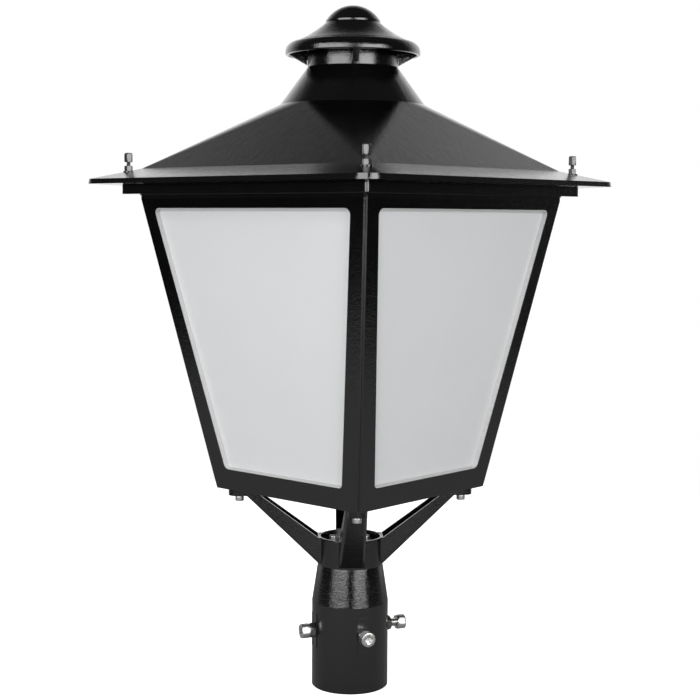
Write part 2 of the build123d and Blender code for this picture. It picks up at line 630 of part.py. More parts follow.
def make_base_screws():
    """Pan head screws through the base plate's upstands into the lower rails."""
    length = FRAME_THICKNESS - LIP_DEPTH + TAB_THICKNESS
    screws = []
    for side in (-1, 1):
        place = behind_front(side * TAB_SCREW_OFFSET, TAB_SCREW_HEIGHT, FRAME_THICKNESS + TAB_THICKNESS)
        screws += four(place * pan_screw(M4_PAN, length))
    return group(screws)


def make_cable_gland():
    """Gland body under the base plate, with its threaded end through it."""
    low = BODY_BOTTOM - GLAND_FLANGE - GLAND_DOME
    flange = hexagon(GLAND_FLATS, BODY_BOTTOM - GLAND_FLANGE, BODY_BOTTOM)
    dome = turned((0, low), (GLAND_SLEEVE_RADIUS + 1.5, low), (GLAND_FLATS / 2 - 1, low + GLAND_DOME * 0.6),
                  (GLAND_FLATS / 2 - 1, low + GLAND_DOME), (0, low + GLAND_DOME))
    body = flange + dome + disc(GLAND_THREAD_RADIUS, BODY_BOTTOM, BODY_BOTTOM + GLAND_THREAD_LENGTH)
    return body - disc(GLAND_SLEEVE_RADIUS, low - 1, BODY_BOTTOM + GLAND_THREAD_LENGTH + 1)


def make_gland_nut():
    """Nut that holds the gland, inside the lamp body."""
    nut = hex_nut(GLAND_FLATS, GLAND_NUT_THICKNESS, GLAND_THREAD_RADIUS + THREAD_GAP)
    return Pos(0, 0, BODY_BOTTOM + PLATE_THICKNESS) * nut


def make_gland_sleeve():
    """Rubber sleeve that grips the supply lead."""
    low = BODY_BOTTOM - GLAND_FLANGE - GLAND_DOME
    high = BODY_BOTTOM
    return disc(GLAND_SLEEVE_RADIUS - THREAD_GAP, low, high) - disc(LEAD_RADIUS, low - 1, high + 1)


# ---------------------------------------------------------------- top ring and seals
def make_frame_seal():
    """Flat seal between the side frames and the top ring."""
    outer = BODY_TOP_SIDE - 2
    inner = BODY_TOP_SIDE - 2 * FRAME_INSET + 2
    ring = Rectangle(outer, outer) - Rectangle(inner, inner)
    return Plane.XY.offset(BODY_TOP) * extrude(ring, SEAL_THICKNESS)


def make_top_ring():
    """Square ring that closes the lamp body and takes the roof's studs."""
    ring = rounded_plate(RING_SIDE, RING_CORNER, RING_BOTTOM, RING_TOP)
    ring -= rounded_plate(RING_OPENING, RING_CORNER, RING_BOTTOM - 1, RING_TOP + 1)
    ring -= groove(0.0)
    for hole in four(disc(M4_STUD + THREAD_GAP, RING_BOTTOM - 1, RING_TOP + 1, STUD_PLACE, STUD_PLACE)):
        ring -= hole
    shank, head, height, _ = M5_FLAT
    shank, head = shank + THREAD_GAP, head + THREAD_GAP
    sink = turned((0, -RING_HEIGHT - 1), (shank, -RING_HEIGHT - 1), (shank, -height), (head, 0), (head, 1),
                  (0, 1))
    for hole in four(Pos(RING_SCREW_PLACE, RING_SCREW_PLACE, RING_TOP) * sink):
        ring -= hole
    return ring


def groove(gap):
    """Square ring shape of the roof gasket's groove, smaller by gap on every side."""
    outer = GROOVE_SIDE - 2 * gap
    inner = GROOVE_SIDE - 2 * GROOVE_WIDTH + 2 * gap
    low = RING_TOP - GROOVE_DEPTH
    ring = RectangleRounded(outer, outer, RING_CORNER + GROOVE_WIDTH)
    ring -= RectangleRounded(inner, inner, RING_CORNER)
    return Plane.XY.offset(low) * extrude(ring, GROOVE_DEPTH)


def make_roof_gasket():
    """Rubber gasket in the top ring's groove."""
    return groove(THREAD_GAP)


def make_ring_screws():
    """Countersunk screws from the top ring down into the corner posts."""
    screw = Pos(RING_SCREW_PLACE, RING_SCREW_PLACE, RING_TOP) * flat_screw(M5_FLAT, RING_SCREW_LENGTH)
    return group(four(screw))


# ---------------------------------------------------------------- roof
def make_roof_shell():
    """Cast roof in one piece: brim, square-to-round hip roof, neck and collar."""
    sections = [(RING_SIDE, RING_CORNER, RING_TOP), (BRIM_SIDE, BRIM_CORNER, BRIM_LOW),
                (BRIM_TOP_SIDE, BRIM_CORNER, BRIM_TOP), (ROOF_SIDE, ROOF_CORNER, ROOF_BASE)]
    shell = loft([Plane.XY.offset(z) * RectangleRounded(side, side, corner) for side, corner, z in sections],
                 ruled=True)
    shell += square_to_round(ROOF_SIDE / 2, NECK_BASE_RADIUS, ROOF_BASE, NECK_BASE)
    shell += turned((0, NECK_BASE), (NECK_BASE_RADIUS, NECK_BASE), (COLLAR_RADIUS, COLLAR_BASE),
                    (COLLAR_RADIUS, COLLAR_TOP), (0, COLLAR_TOP))
    boss = disc(STUD_BOSS_RADIUS, BRIM_TOP, STUD_SEAT, STUD_PLACE, STUD_PLACE)
    spot = disc(SPOT_FACE_RADIUS, STUD_SEAT, ROOF_BASE, STUD_PLACE, STUD_PLACE)
    hole = disc(M4_STUD + THREAD_GAP, RING_TOP - 1, STUD_SEAT + 1, STUD_PLACE, STUD_PLACE)
    for shape in four(boss):
        shell += shape
    for shape in four(spot) + four(hole):
        shell -= shape
    cavity_half = ROOF_SIDE / 2 - ROOF_LEDGE
    neck_inner = NECK_BASE_RADIUS - NECK_INSET
    collar_inner = COLLAR_RADIUS - ROOF_WALL
    cavity = frustum(cavity_half, cavity_half, RING_TOP - 1, ROOF_BASE)
    cavity += square_to_round(cavity_half, neck_inner, ROOF_BASE, NECK_BASE)
    cavity += turned((0, NECK_BASE), (neck_inner, NECK_BASE), (collar_inner, COLLAR_BASE),
                     (collar_inner, COLLAR_TOP + 1), (0, COLLAR_TOP + 1))
    for shape in four(disc(BOSS_RADIUS, TRAY_TOP, NECK_BASE, BOSS_PLACE, BOSS_PLACE)):
        cavity -= shape
    shell -= cavity
    boss_hole_top = TRAY_TOP + TRAY_SCREW_BITE + BLIND_MARGIN
    for shape in four(disc(M5_PAN[0] + THREAD_GAP, TRAY_TOP - 1, boss_hole_top, BOSS_PLACE, BOSS_PLACE)):
        shell -= shape
    return shell


def make_stud_nuts():
    """Locking nuts of the four corner studs, on the brim."""
    nut = hex_nut(STUD_FLATS, STUD_NUT_HEIGHT, M4_STUD + THREAD_GAP)
    return group(four(Pos(STUD_PLACE, STUD_PLACE, STUD_SEAT) * nut))


def make_corner_stud():
    """Hexagon headed stud at the front right corner, down through the brim into the top ring."""
    tip_bottom = STUD_SEAT + STUD_NUT_HEIGHT + STUD_WAIST
    corner = STUD_FLATS / 2 / cos(radians(30))
    edge = corner - STUD_FLATS / 2 + 0.6
    tip_top = tip_bottom + STUD_TIP
    form = turned((0, tip_bottom), (STUD_FLATS / 2, tip_bottom), (corner, tip_bottom + 0.6),
                  (corner, tip_top - edge), (corner - edge, tip_top), (0, tip_top))
    stud = form & hexagon(STUD_FLATS, tip_bottom, tip_top)
    stud += disc(M4_STUD, RING_BOTTOM + 0.5, tip_bottom)
    return Pos(STUD_PLACE, -STUD_PLACE, 0) * stud


def hood_profile(inset):
    """Half section of the vent hood's skin, moved in by inset."""
    rim_start = (LEDGE_RADIUS, LEDGE_HEIGHT - inset)
    rim_middle = (LEDGE_RADIUS + LIP_CROWN_OUT, LIP_WIDEST + LIP_CROWN - inset)
    rim_end = (LIP_RADIUS - inset, LIP_WIDEST)
    cone_low = (LEDGE_RADIUS - LEDGE_WIDTH, LEDGE_HEIGHT + LEDGE_STEP - inset)
    cone_high = (HOOD_TOP_RADIUS, HOOD_TOP - HOOD_TOP_BREAK - inset)
    cone_middle = ((cone_low[0] + cone_high[0]) / 2, (cone_low[1] + cone_high[1]) / 2 - HOOD_CONE_DIP)
    top = (HOOD_TOP_RADIUS - HOOD_TOP_BREAK, HOOD_TOP - inset)
    return rim_start, rim_middle, rim_end, cone_low, cone_middle, cone_high, top


def hood_form(inset, bottom):
    """Solid hood form, moved in by inset and closed at this height."""
    rim_start, rim_middle, rim_end, cone_low, cone_middle, cone_high, top = hood_profile(inset)
    outline = [Line((0, bottom), (rim_end[0], bottom)), Line((rim_end[0], bottom), rim_end),
               ThreePointArc(rim_end, rim_middle, rim_start), Line(rim_start, cone_low),
               ThreePointArc(cone_low, cone_middle, cone_high), Line(cone_high, top),
               Line(top, (0, top[1])), Line((0, top[1]), (0, bottom))]
    return revolve(Plane.XZ * make_face(outline), Axis.Z)


def make_vent_hood():
    """Cast hood over the collar, hollow below, with four ribs that stand on the collar."""
    hood = hood_form(0, LIP_BOTTOM)
    hood = fillet(hood.edges().group_by(Axis.Z)[0], LIP_ROUND)
    hood -= hood_form(HOOD_WALL, LIP_BOTTOM - 1)
    rib_start = COLLAR_RADIUS + CLEARANCE
    rib_end = LIP_RADIUS - HOOD_WALL / 2
    foot = COLLAR_RADIUS - RIB_BEARING
    rib = make_face(Polyline((foot, COLLAR_TOP), (rib_start, COLLAR_TOP), (rib_start, RIB_FOOT),
                             (rib_end, LIP_BOTTOM + LIP_ROUND), (rib_end, HOOD_TOP), (foot, HOOD_TOP),
                             close=True))
    rib = extrude(Plane.XZ * rib, RIB_THICKNESS / 2, both=True) & hood_form(HOOD_WALL / 2, RIB_FOOT)
    for turn in range(4):
        hood += Rot(0, 0, 45 + 90 * turn) * rib
    return hood - disc(M8_ROD + THREAD_GAP, COLLAR_TOP, HOOD_TOP + 1)


def make_finial():
    """Domed nut that closes the hood."""
    band_top = HOOD_TOP + FINIAL_BAND
    rise = FINIAL_HEIGHT - FINIAL_BAND
    sphere = (FINIAL_RADIUS ** 2 + rise ** 2) / 2 / rise
    half_angle = atan2(FINIAL_RADIUS, sphere - rise) / 2
    middle = (sphere * sin(half_angle), band_top + rise - sphere * (1 - cos(half_angle)))
    low, rim, top = (FINIAL_RADIUS, HOOD_TOP), (FINIAL_RADIUS, band_top), (0, band_top + rise)
    outline = [Line((0, HOOD_TOP), low), Line(low, rim), ThreePointArc(rim, middle, top),
               Line(top, (0, HOOD_TOP))]
    dome = revolve(Plane.XZ * make_face(outline), Axis.Z)
    return dome - disc(M8_ROD + THREAD_GAP, HOOD_TOP - 1, ROD_TOP + BLIND_MARGIN)


def make_hood_rod():
    """Threaded rod that ties the finial and hood down to the bridge."""
    return disc(M8_ROD, BRIDGE_BOTTOM - ROD_NUT_HEIGHT - ROD_END, ROD_TOP)


def make_hood_bridge():
    """Bar across the inside of the neck that the rod pulls against."""
    bore = COLLAR_RADIUS - ROOF_WALL + (COLLAR_BASE - BRIDGE_TOP) * NECK_INNER_SLOPE - CLEARANCE
    half = sqrt(bore ** 2 - (BRIDGE_WIDTH / 2) ** 2)
    bar = block(2 * half, BRIDGE_WIDTH, BRIDGE_BOTTOM, BRIDGE_TOP)
    return bar - disc(M8_ROD + THREAD_GAP, BRIDGE_BOTTOM - 1, BRIDGE_TOP + 1)


def make_hood_nut():
    """Nut under the bridge."""
    nut = hex_nut(LOCK_NUT_FLATS, ROD_NUT_HEIGHT, M8_ROD + THREAD_GAP)
    return Pos(0, 0, BRIDGE_BOTTOM - ROD_NUT_HEIGHT) * nut


# ---------------------------------------------------------------- gear tray and light engine
def make_gear_tray():
    """Folded tray across the roof's inside, with two upturned edges."""
    tray = rounded_plate(TRAY_SIDE, TRAY_CORNER, TRAY_BOTTOM, TRAY_TOP)
    for side in (-1, 1):
        tray += block(TRAY_THICKNESS, TRAY_SIDE - 8 * TRAY_CORNER, TRAY_TOP, TRAY_TOP + TRAY_LIP,
                      side * (TRAY_SIDE - TRAY_THICKNESS) / 2)
    tray -= disc(LEAD_RADIUS * 2, TRAY_BOTTOM - 1, TRAY_TOP + 1, 0, LEAD_HOLE_PLACE)
    holes = four(disc(M5_PAN[0] + THREAD_GAP, TRAY_BOTTOM - 1, TRAY_TOP + 1, BOSS_PLACE, BOSS_PLACE))
    holes += [disc(M4_PAN[0] + THREAD_GAP, TRAY_BOTTOM - 1, TRAY_TOP + 1, x, y)
              for x, y in sink_boss_points()]
    for place, size in tray_top_screws():
        holes.append(place * disc(size[0] + THREAD_GAP, -TRAY_THICKNESS - 1, 1))
    for hole in holes:
        tray -= hole
    return tray


def tray_top_screws():
    """Places on the tray of the screws that hold the driver and the terminal block."""
    driver = [(Pos(side * (DRIVER_LENGTH + DRIVER_FOOT) / 2, -DRIVER_OFFSET, TRAY_TOP), M4_PAN)
              for side in (-1, 1)]
    terminal = [(Pos(side * (TERMINAL_LENGTH + TERMINAL_FOOT) / 2, TERMINAL_OFFSET, TRAY_TOP), M3_PAN)
                for side in (-1, 1)]
    return driver + terminal


def make_tray_screws():
    """Screws from below through the tray into the roof's bosses."""
    screw = Rot(180, 0, 0) * pan_screw(M5_PAN, TRAY_THICKNESS + TRAY_SCREW_BITE)
    return group(four(Pos(BOSS_PLACE, BOSS_PLACE, TRAY_BOTTOM) * screw))


def sink_boss_points():
    """The heat sink's four tapped bosses, between the driver and the terminal block."""
    return [(a * SINK_BOSS_X, b * SINK_BOSS_Y) for a in (-1, 1) for b in (-1, 1)]


def make_heat_sink():
    """Round finned heat sink under the tray."""
    base_top = SINK_BOTTOM + SINK_BASE
    sink = disc(SINK_RADIUS, SINK_BOTTOM, base_top)
    count = int(SINK_RADIUS / SINK_FIN_PITCH)
    for number in range(-count, count + 1):
        place = number * SINK_FIN_PITCH
        chord = 2 * sqrt(max(SINK_RADIUS ** 2 - (abs(place) + SINK_FIN_THICKNESS) ** 2, 1))
        sink += block(SINK_FIN_THICKNESS, chord, base_top, TRAY_BOTTOM, place)
    for x, y in sink_boss_points():
        sink += disc(SINK_BOSS_RADIUS, base_top, TRAY_BOTTOM, x, y)
    for x, y in sink_boss_points():
        bottom = TRAY_BOTTOM - SINK_SCREW_BITE - BLIND_MARGIN
        sink -= disc(M4_PAN[0] + THREAD_GAP, bottom, TRAY_BOTTOM + 1, x, y)
    for place in lens_screw_places():
        sink -= place * disc(M3_PAN[0] + THREAD_GAP, -LENS_WALL - LENS_SCREW_BITE - BLIND_MARGIN, 1)
    return sink


def make_sink_screws():
    """Screws from above through the tray into the heat sink."""
    screw = pan_screw(M4_PAN, TRAY_THICKNESS + SINK_SCREW_BITE)
    return group([Pos(x, y, TRAY_TOP) * screw for x, y in sink_boss_points()])


def make_led_board():
    """Round circuit board on the underside of the heat sink."""
    return disc(BOARD_RADIUS, SINK_BOTTOM - BOARD_THICKNESS, SINK_BOTTOM)


def make_led_chips():
    """Light emitting packages on the board."""
    top = SINK_BOTTOM - BOARD_THICKNESS
    chips = []
    for column in range(CHIP_ROWS):
        for row in range(CHIP_ROWS):
            x, y = [(number - (CHIP_ROWS - 1) / 2) * CHIP_PITCH for number in (column, row)]
            if hypot(x, y) < BOARD_RADIUS - CHIP_SIDE:
                chips.append(block(CHIP_SIDE, CHIP_SIDE, top - CHIP_HEIGHT, top, x, y))
    return group(chips)


def lens_screw_places():
    """Seats of the lens cover's screws, from below, z pointing down."""
    ring = LENS_RADIUS - LENS_RIM / 2
    return [Rot(0, 0, 30 + 60 * turn) * Pos(ring, 0, SINK_BOTTOM - LENS_WALL) * Rot(180, 0, 0)
            for turn in range(6)]


def make_lens_cover():
    """Clear cover over the board, screwed to the heat sink."""
    top, low = SINK_BOTTOM, SINK_BOTTOM - LENS_DROP
    bowl = LENS_RADIUS - LENS_RIM
    inner = LENS_CORNER + LENS_WALL / 2
    cover = turned((0, low), (bowl - LENS_CORNER, low), (bowl, low + LENS_CORNER), (bowl, top - LENS_WALL),
                   (LENS_RADIUS, top - LENS_WALL), (LENS_RADIUS, top), (bowl - LENS_WALL, top),
                   (bowl - LENS_WALL, low + inner), (bowl - inner, low + LENS_WALL), (0, low + LENS_WALL))
    for place in lens_screw_places():
        cover -= place * disc(M3_PAN[0] + THREAD_GAP, -LENS_WALL - 1, 1)
    return cover


def make_lens_screws():
    """Six small screws of the lens cover."""
    return group([place * pan_screw(M3_PAN, LENS_WALL + LENS_SCREW_BITE) for place in lens_screw_places()])


def make_driver():
    """Driver: a sealed case with a foot at each end."""
    case = block(DRIVER_LENGTH, DRIVER_WIDTH, TRAY_TOP, TRAY_TOP + DRIVER_HEIGHT, 0, -DRIVER_OFFSET)
    case = fillet(case.edges().filter_by(Axis.Z), DRIVER_CORNER)
    case = chamfer(case.edges().group_by(Axis.Z)[-1], DRIVER_EDGE)
    foot_length = DRIVER_LENGTH + 2 * DRIVER_FOOT
    case += block(foot_length, DRIVER_WIDTH / 2, TRAY_TOP, TRAY_TOP + FOOT_THICKNESS, 0, -DRIVER_OFFSET)
    for place, size in tray_top_screws()[:2]:
        case -= place * disc(size[0] + THREAD_GAP, -1, FOOT_THICKNESS + 1)
    return case


def make_gear_screws():
    """Screws of the driver's and the terminal block's feet."""
    length = FOOT_THICKNESS + TRAY_THICKNESS
    return group([place * Pos(0, 0, FOOT_THICKNESS) * pan_screw(size, length)
                  for place, size in tray_top_screws()])


def make_terminal_block():
    """Terminal block on two feet, with a recess for each pole."""
    top = TRAY_TOP + TERMINAL_HEIGHT
    body = block(TERMINAL_LENGTH, TERMINAL_WIDTH, TRAY_TOP, top, 0, TERMINAL_OFFSET)
    pitch = TERMINAL_LENGTH / TERMINAL_POLES
    for pole in range(TERMINAL_POLES):
        x = (pole - (TERMINAL_POLES - 1) / 2) * pitch
        low = top - TERMINAL_SLOT_DEPTH
        body -= block(TERMINAL_SLOT, TERMINAL_WIDTH + 2, low, top + 1, x, TERMINAL_OFFSET)
    foot_length = TERMINAL_LENGTH + 2 * TERMINAL_FOOT
    body += block(foot_length, TERMINAL_WIDTH / 2, TRAY_TOP, TRAY_TOP + FOOT_THICKNESS, 0, TERMINAL_OFFSET)
    for place, size in tray_top_screws()[2:]:
        body -= place * disc(size[0] + THREAD_GAP, -1, FOOT_THICKNESS + 1)
    return body


# ---------------------------------------------------------------- writing the sub-parts
SIDES = ("front", "right", "back", "left")


def all_nodes():
    """Every sub-part by name."""
    nodes = {
        "post_socket": make_post_socket(),
        "set_screw_nuts": make_lock_nuts(),
        "yoke": make_yoke(),
        "yoke_screws": make_yoke_screws(),
        "foot_washers": make_foot_washers(),
        "foot_bolts": make_foot_bolts(),
        "base_plate": make_base_plate(),
        "base_screws": make_base_screws(),
        "cable_gland": make_cable_gland(),
        "gland_nut": make_gland_nut(),
        "gland_sleeve": make_gland_sleeve(),
        "panel_clips": make_clips(),
        "clip_screws": make_clip_screws(),
        "frame_seal": make_frame_seal(),
        "top_ring": make_top_ring(),
        "ring_screws": make_ring_screws(),
        "roof_gasket": make_roof_gasket(),
        "roof_shell": make_roof_shell(),
        "stud_nuts": make_stud_nuts(),
        "vent_hood": make_vent_hood(),
        "finial": make_finial(),
        "hood_rod": make_hood_rod(),
        "hood_bridge": make_hood_bridge(),
        "hood_nut": make_hood_nut(),
        "gear_tray": make_gear_tray(),
        "tray_screws": make_tray_screws(),
        "heat_sink": make_heat_sink(),
        "sink_screws": make_sink_screws(),
        "led_board": make_led_board(),
        "led_chips": make_led_chips(),
        "lens_cover": make_lens_cover(),
        "lens_screws": make_lens_screws(),
        "driver": make_driver(),
        "gear_screws": make_gear_screws(),
        "terminal_block": make_terminal_block(),
    }
    quarter = {"side_frame": make_side_frame(), "diffuser": make_diffuser(),
               "diffuser_gasket": make_diffuser_gasket()}
    for name, shape in quarter.items():
        for side, copy in zip(SIDES, four(shape)):
            nodes[f"{name}_{side}"] = copy
    for number, copy in enumerate(four(make_corner_post()), start=1):
        nodes[f"corner_post_{number}"] = copy
    for number, copy in enumerate(four(make_corner_stud()), start=1):
        nodes[f"corner_stud_{number}"] = copy
    for number in range(4):
        nodes[f"set_screw_{number + 1}"] = make_set_screw(number)
    return nodes


os.makedirs("parts", exist_ok=True)
for node_name, node_shape in all_nodes().items():
    export_step(node_shape, f"parts/{node_name}.step")
print("overall height", round(HOOD_TOP + FINIAL_HEIGHT, 1), "brim", BRIM_SIDE)
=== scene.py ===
# %% [markdown]
# # A post top lantern, dressed for its picture
# The lantern comes in as finished pieces, each one where it sits in the real thing. This lesson gives every
# piece the surface of the real one, swaps the plain screws and studs for ones with threads, knurls and key
# sockets, and then sets up the table, the lamps and the camera.

# %% Load the lantern
import json

import bmesh
import bpy
import numpy as np
from mathutils import Matrix, Vector

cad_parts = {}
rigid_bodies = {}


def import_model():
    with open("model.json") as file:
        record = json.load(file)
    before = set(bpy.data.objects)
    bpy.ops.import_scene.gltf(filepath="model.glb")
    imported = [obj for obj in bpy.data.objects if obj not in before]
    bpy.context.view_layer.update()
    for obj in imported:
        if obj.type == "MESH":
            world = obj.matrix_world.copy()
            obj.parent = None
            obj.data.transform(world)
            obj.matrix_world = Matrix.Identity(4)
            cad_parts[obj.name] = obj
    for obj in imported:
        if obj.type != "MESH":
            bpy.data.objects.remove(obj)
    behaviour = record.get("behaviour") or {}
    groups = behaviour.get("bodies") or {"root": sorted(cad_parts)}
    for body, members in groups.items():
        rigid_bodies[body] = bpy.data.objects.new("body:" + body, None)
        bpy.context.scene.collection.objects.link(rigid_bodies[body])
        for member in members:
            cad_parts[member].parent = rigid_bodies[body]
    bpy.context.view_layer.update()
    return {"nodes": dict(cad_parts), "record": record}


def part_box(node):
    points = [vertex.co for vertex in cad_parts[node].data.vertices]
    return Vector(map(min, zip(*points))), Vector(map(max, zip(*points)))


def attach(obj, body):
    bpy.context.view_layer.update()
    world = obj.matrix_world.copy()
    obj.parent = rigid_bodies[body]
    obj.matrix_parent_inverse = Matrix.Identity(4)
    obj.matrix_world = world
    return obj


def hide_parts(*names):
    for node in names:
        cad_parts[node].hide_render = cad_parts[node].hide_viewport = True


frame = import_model()
nodes = frame["nodes"]

# %% [markdown]
# ## The camera
# The view is a product photograph taken with a long lens, a little above the middle of the lantern and
# looking slightly down, with one corner of the lamp body turned almost straight at the lens. Three angles
# and a place say all of that, so the camera's axes are worked out from them instead of being dragged about.

# %% Place the camera
FOCAL_PIXELS = 1463.8          # focal length in pixels of the 700 pixel wide picture
PICTURE_PIXELS = 700
SENSOR = 36.0                  # millimetres
VIEW_TURN = 41.869             # degrees that the view is turned round the lantern's axis
PITCH = 5.182                  # degrees looking down
YAW = 0.015
ROLL = 0.297
CAMERA_SIDEWAYS, CAMERA_BACK, CAMERA_HEIGHT = -0.00167, 1.4374, 0.46664

pitch, yaw, roll, turn = np.radians([PITCH, YAW, ROLL, VIEW_TURN])
ahead = Vector((np.sin(yaw) * np.cos(pitch), np.cos(yaw) * np.cos(pitch), -np.sin(pitch)))
across = Vector((np.cos(yaw), -np.sin(yaw), 0.0))
upward = across.cross(ahead)
across, upward = (across * np.cos(roll) + upward * np.sin(roll),
                  upward * np.cos(roll) - across * np.sin(roll))
axes = Matrix((across, upward, -ahead)).transposed().to_4x4()
place = Matrix.Translation((CAMERA_SIDEWAYS, -CAMERA_BACK, CAMERA_HEIGHT))
camera_data = bpy.data.cameras.new("camera")
camera_data.sensor_width = SENSOR
camera_data.lens = FOCAL_PIXELS / PICTURE_PIXELS * SENSOR
camera = bpy.data.objects.new("camera", camera_data)
camera.matrix_world = Matrix.Rotation(turn, 4, "Z") @ place @ axes
bpy.context.scene.collection.objects.link(camera)
bpy.context.scene.camera = camera
print("lens", round(camera_data.lens, 2), "mm at", [round(v, 3) for v in camera.matrix_world.translation])

# %% [markdown]
# ## Writing finishes as sums
# A finish is a small network of nodes. Wiring it by hand is slow to read, so three classes help. One wraps
# a socket and lets it be added and multiplied like a number. One holds a network and makes any node from
# its type, its settings and what goes into its sockets. The last is a material's network, with the few
# nodes that every finish here uses.

# %% A socket that works like a number
class Wire:
    """One shader socket, used like a number: each sum, difference or product adds a Math node."""

    def __init__(self, network, socket):
        self.network, self.socket = network, socket

    def math(self, operation, first, second):
        return self.network.node("ShaderNodeMath", {"operation": operation}, {0: first, 1: second})

    def __add__(self, other):
        return self.math("ADD", self, other)

    def __sub__(self, other):
        return self.math("SUBTRACT", self, other)

    def __rsub__(self, other):
        return self.math("SUBTRACT", other, self)

    def __mul__(self, other):
        return self.math("MULTIPLY", self, other)

    __radd__, __rmul__ = __add__, __mul__


print("wires ready")

# %% A network of nodes
class Network:
    """A node tree that any node is added to in one call."""

    def __init__(self, tree):
        self.tree = tree

    def node(self, kind, settings=(), sockets=(), output=0):
        """Adds a node of this kind, sets it up, fills its sockets and gives one output as a wire."""
        made = self.tree.nodes.new(kind)
        for key, value in dict(settings).items():
            setattr(made, key, value)
        for key, value in dict(sockets).items():
            self.fill(made.inputs[key], value)
        return Wire(self, made.outputs[output])

    def fill(self, socket, value):
        """Links a wire to a socket, or writes a plain value into it."""
        if isinstance(value, Wire):
            self.tree.links.new(value.socket, socket)
        else:
            socket.default_value = value

    def ramp(self, wire, low, high, bottom=0.0, top=1.0):
        """The wire's stretch from low to high spread over bottom to top."""
        return self.node("ShaderNodeMapRange", {"clamp": True},
                         {"Value": wire, "From Min": low, "From Max": high, "To Min": bottom, "To Max": top})


print("networks ready")

# %% A material's network
BEVEL_SAMPLES = 6


class Finish(Network):
    """A material with one principled shader, built by name."""

    def __init__(self, name, **constants):
        self.material = bpy.data.materials.new(name)
        self.material.use_nodes = True
        super().__init__(self.material.node_tree)
        self.shader = self.tree.nodes["Principled BSDF"]
        for socket, value in constants.items():
            self.shader.inputs[socket.replace("_", " ")].default_value = value
        self.here = self.node("ShaderNodeTexCoord", output="Object")

    def noise(self, scale, detail=2.0, roughness=0.5, place=None):
        """Noise from 0 to 1 with this many features in a metre."""
        sockets = {"Vector": place or self.here, "Scale": scale, "Detail": detail, "Roughness": roughness}
        return self.node("ShaderNodeTexNoise", {"noise_dimensions": "3D"}, sockets)

    def blend(self, share, first, second):
        """A colour between two colours. A Mix node's colours are its sockets 6 and 7 and its output 2."""
        return self.node("ShaderNodeMix", {"data_type": "RGBA"}, {0: share, 6: first, 7: second}, output=2)

    def relief(self, height, depth, under=None):
        """A normal bent by a height field of this depth in metres, on top of another normal."""
        sockets = {"Height": height, "Distance": depth, "Strength": 1.0}
        if under is not None:
            sockets["Normal"] = under
        return self.node("ShaderNodeBump", {}, sockets)

    def rounded(self, radius):
        """A normal that rounds the piece's edges off at this radius."""
        return self.node("ShaderNodeBevel", {"samples": BEVEL_SAMPLES}, {"Radius": radius})

    def set(self, **wires):
        """Sets the principled shader's sockets and gives the material."""
        for socket, value in wires.items():
            self.fill(self.shader.inputs[socket.replace("_", " ")], value)
        return self.material


def grey(level, warm=0.0):
    """A grey with a touch of warmth, as a colour."""
    return (level * (1 + warm), level, level * (1 - warm), 1.0)


print("finishes can be written")

# %% [markdown]
# ## Black powder coat
# The castings are sprayed with powder and baked. The powder flows into a glossy skin that never gets quite
# flat: it keeps an orange peel of shallow dimples about a millimetre across, over slow waves of a few
# millimetres. Reflections of lamps break into specks at their edges. Two scales of noise make the peel, and
# the bump's depth in metres keeps it shallow. The blackened nuts and studs are steel with a dense oxide,
# whose high index makes it shine more than the coat does.

# %% Black coat and black steel
PEEL_SCALE, PEEL_DEPTH = 820.0, 0.00018        # dimples in a metre, and their depth in metres
WAVE_SCALE, WAVE_DEPTH = 190.0, 0.0001
OXIDE_INDEX = 2.1


def black_coat():
    """Powder coat: near black and glossy, with two scales of orange peel."""
    coat = Finish("black_coat", IOR=1.5, Specular_IOR_Level=1.0)
    peel = coat.noise(PEEL_SCALE, detail=1.5, roughness=0.45)
    waves = coat.noise(WAVE_SCALE, detail=1.0, roughness=0.4)
    cloud = coat.noise(scale=35.0, detail=3.0, roughness=0.6)
    gloss = coat.ramp(cloud, 0.2, 0.8, bottom=0.07, top=0.12) + peel * 0.03
    return coat.set(Base_Color=coat.blend(cloud, grey(0.0015), grey(0.003, -0.01)), Roughness=gloss,
                    Normal=coat.relief(peel, PEEL_DEPTH, coat.relief(waves, WAVE_DEPTH)))


def black_steel():
    """Blackened steel: thin oxide over the metal, grained and with a blur that varies from speck to speck."""
    steel = Finish("black_steel", IOR=OXIDE_INDEX)
    grain = steel.noise(scale=2400.0, detail=3.0, roughness=0.6)
    patch = steel.noise(scale=300.0, detail=2.0, roughness=0.5)
    return steel.set(Base_Color=steel.blend(patch, grey(0.008), grey(0.03, 0.03)),
                     Roughness=steel.ramp(grain, 0.2, 0.8, bottom=0.22, top=0.4),
                     Normal=steel.relief(grain, depth=0.00003, under=steel.rounded(radius=0.0003)))


finishes = {"black_coat": black_coat(), "black_steel": black_steel()}
print(sorted(finishes))

# %% [markdown]
# ## Bare metals
# The set screws and bolts are stainless steel straight from the lathe: bright, with fine turned marks and a
# little blur. The tray and the hood's bridge are rolled sheet, and the heat sink is cast, so it is greyer and
# grained. Metals get their colour from Base Color, and stretched noise gives the direction of the marks.

# %% Metals
ALONG_THE_ROLL = (1.0, 0.03, 1.0)              # how much the sheet's marks are stretched


def stainless():
    """Turned stainless steel with fine marks and a few duller patches."""
    steel = Finish("stainless", Metallic=1.0)
    marks = steel.noise(scale=5200.0, detail=2.0, roughness=0.6)
    patch = steel.noise(scale=420.0, detail=2.0, roughness=0.5)
    return steel.set(Base_Color=steel.blend(patch, grey(0.66, 0.02), grey(0.78, 0.01)),
                     Roughness=steel.ramp(marks, 0.25, 0.75, bottom=0.2, top=0.34),
                     Normal=steel.relief(marks, depth=0.00002, under=steel.rounded(radius=0.00025)))


